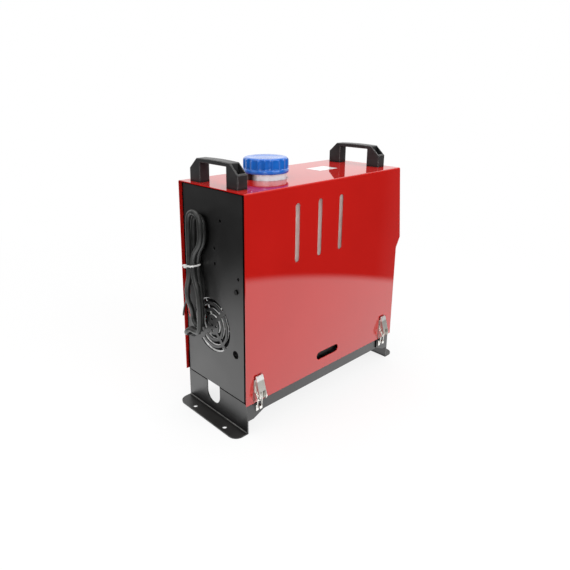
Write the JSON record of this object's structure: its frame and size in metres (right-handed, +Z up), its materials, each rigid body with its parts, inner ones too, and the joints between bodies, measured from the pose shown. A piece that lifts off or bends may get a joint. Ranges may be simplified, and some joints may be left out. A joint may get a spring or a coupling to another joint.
{
  "type": "diesel air heater",
  "caption": "Portable diesel air heater: lift-off sheet cover with toggle latches over a tank and heater on feet, with handles, filler cap, warm-air outlet and tied lead.",
  "frame": {"origin": "centre of the footprint, on the floor under the feet", "axes": "+X towards the warm-air outlet end, +Z up, the pictured long side faces -Y"},
  "size_m": [0.3834, 0.1674, 0.3824],
  "materials": {
    "cover_enamel": "gloss",
    "chassis_enamel": "satin",
    "latch_steel": "polished",
    "strike_steel": "satin",
    "tank_plastic": "satin",
    "cap_plastic": "satin",
    "liner_foam": "matt",
    "handle_plastic": "satin",
    "screw_steel": "satin",
    "casing_plastic": "matt",
    "cast_aluminium": "cast",
    "pipe_steel": "satin",
    "gasket_fibre": "matt",
    "motor_steel": "satin",
    "fan_plastic": "satin",
    "guard_wire": "polished",
    "unit_plastic": "matt",
    "bezel_plastic": "gloss",
    "screen_plastic": "gloss",
    "button_plastic": "satin",
    "pump_steel": "satin",
    "clamp_rubber": "matt",
    "filter_plastic": "gloss",
    "hose_rubber": "matt",
    "lead_jacket": "satin",
    "black_insulation": "gloss",
    "red_insulation": "gloss",
    "tie_nylon": "satin",
    "crimp_tin": "polished"
  },
  "bodies": {
    "chassis": {"intake_foot": "chassis_enamel", "outlet_foot": "chassis_enamel", "base_tray": "chassis_enamel", "latch_strikes": "strike_steel", "intake_end_plate": "chassis_enamel", "outlet_end_plate": "chassis_enamel", "tank_shelf": "chassis_enamel", "fuel_tank": "tank_plastic", "heater_upper_shell": "casing_plastic", "heater_lower_shell": "casing_plastic", "outlet_collar": "casing_plastic", "heater_stand": "chassis_enamel", "heater_gasket": "gasket_fibre", "exhaust_stub": "pipe_steel", "combustion_air_stub": "pipe_steel", "heat_exchanger": "cast_aluminium", "burner_tube": "pipe_steel", "glow_plug": "pipe_steel", "fan_motor": "motor_steel", "intake_guard": "guard_wire", "control_unit": "unit_plastic", "display_bezel": "bezel_plastic", "display_screen": "screen_plastic", "fuel_pump": "pump_steel", "pump_clamp": "clamp_rubber", "fuel_filter": "filter_plastic", "fuel_hoses": "hose_rubber", "lead_hank": "lead_jacket", "power_lead": "lead_jacket", "black_conductor": "black_insulation", "red_conductor": "red_insulation", "cable_grommet": "clamp_rubber", "cable_tie": "tie_nylon", "crimp_sleeves": "crimp_tin", "chassis_screws": "screw_steel"},
    "cover": {"cover_shell": "cover_enamel", "intake_handle": "handle_plastic", "outlet_handle": "handle_plastic", "handle_screws": "screw_steel", "latch_bases": "latch_steel", "latch_pivot_pins": "latch_steel"},
    "near_intake_lever": {"near_intake_lever": "latch_steel"},
    "near_intake_bail": {"near_intake_bail": "latch_steel"},
    "near_outlet_lever": {"near_outlet_lever": "latch_steel"},
    "near_outlet_bail": {"near_outlet_bail": "latch_steel"},
    "far_intake_lever": {"far_intake_lever": "latch_steel"},
    "far_intake_bail": {"far_intake_bail": "latch_steel"},
    "far_outlet_lever": {"far_outlet_lever": "latch_steel"},
    "far_outlet_bail": {"far_outlet_bail": "latch_steel"},
    "cap_liner": {"cap_liner": "liner_foam"},
    "fuel_cap": {"fuel_cap": "cap_plastic"},
    "rotor": {"rotor_shaft": "motor_steel", "main_fan": "fan_plastic", "combustion_wheel": "cast_aluminium"},
    "button_1": {"panel_button_1": "button_plastic"},
    "button_2": {"panel_button_2": "button_plastic"},
    "button_3": {"panel_button_3": "button_plastic"},
    "button_4": {"panel_button_4": "button_plastic"}
  },
  "joints": [
    {"name": "cover_lift", "type": "slide", "parent": "chassis", "child": "cover", "axis": [0, 0, 1], "range_m": [0, 0.36]},
    {"name": "near_intake_lever_swing", "type": "hinge", "parent": "cover", "child": "near_intake_lever", "pos_m": [-0.1499, -0.0797, 0.0575], "axis": [1, 0, 0], "range_deg": [0, 110]},
    {"name": "near_intake_bail_swing", "type": "hinge", "parent": "near_intake_lever", "child": "near_intake_bail", "pos_m": [-0.1499, -0.077, 0.066], "axis": [1, 0, 0], "range_deg": [-78, 0]},
    {"name": "near_outlet_lever_swing", "type": "hinge", "parent": "cover", "child": "near_outlet_lever", "pos_m": [0.142, -0.0797, 0.0575], "axis": [1, 0, 0], "range_deg": [0, 110]},
    {"name": "near_outlet_bail_swing", "type": "hinge", "parent": "near_outlet_lever", "child": "near_outlet_bail", "pos_m": [0.142, -0.077, 0.066], "axis": [1, 0, 0], "range_deg": [-78, 0]},
    {"name": "far_intake_lever_swing", "type": "hinge", "parent": "cover", "child": "far_intake_lever", "pos_m": [-0.1499, 0.0797, 0.0575], "axis": [-1, 0, 0], "range_deg": [0, 110]},
    {"name": "far_intake_bail_swing", "type": "hinge", "parent": "far_intake_lever", "child": "far_intake_bail", "pos_m": [-0.1499, 0.077, 0.066], "axis": [-1, 0, 0], "range_deg": [-78, 0]},
    {"name": "far_outlet_lever_swing", "type": "hinge", "parent": "cover", "child": "far_outlet_lever", "pos_m": [0.142, 0.0797, 0.0575], "axis": [-1, 0, 0], "range_deg": [0, 110]},
    {"name": "far_outlet_bail_swing", "type": "hinge", "parent": "far_outlet_lever", "child": "far_outlet_bail", "pos_m": [0.142, 0.077, 0.066], "axis": [-1, 0, 0], "range_deg": [-78, 0]},
    {"name": "cap_lift", "type": "slide", "parent": "cover", "child": "cap_liner", "axis": [0, 0, 1], "range_m": [0, 0.12]},
    {"name": "cap_turn", "type": "hinge", "parent": "cap_liner", "child": "fuel_cap", "pos_m": [-0.0644, 0.005, 0.36], "axis": [0, 0, 1], "range_deg": [0, 900]},
    {"name": "rotor_spin", "type": "hinge", "parent": "chassis", "child": "rotor", "pos_m": [-0.1, 0.005, 0.1452], "axis": [1, 0, 0], "continuous": true},
    {"name": "button_1_press", "type": "slide", "parent": "chassis", "child": "button_1", "axis": [-0.993, 0, -0.118], "range_m": [0, 0.0012], "stiffness_N_per_m": 1500},
    {"name": "button_2_press", "type": "slide", "parent": "chassis", "child": "button_2", "axis": [-0.993, 0, -0.118], "range_m": [0, 0.0012], "stiffness_N_per_m": 1500},
    {"name": "button_3_press", "type": "slide", "parent": "chassis", "child": "button_3", "axis": [-0.993, 0, -0.118], "range_m": [0, 0.0012], "stiffness_N_per_m": 1500},
    {"name": "button_4_press", "type": "slide", "parent": "chassis", "child": "button_4", "axis": [-0.993, 0, -0.118], "range_m": [0, 0.0012], "stiffness_N_per_m": 1500}
  ],
  "couplings": [
    {"joint": "near_intake_bail_swing", "follows": "near_intake_lever_swing", "ratio": -0.7},
    {"joint": "near_outlet_bail_swing", "follows": "near_outlet_lever_swing", "ratio": -0.7},
    {"joint": "far_intake_bail_swing", "follows": "far_intake_lever_swing", "ratio": -0.7},
    {"joint": "far_outlet_bail_swing", "follows": "far_outlet_lever_swing", "ratio": -0.7}
  ]
}
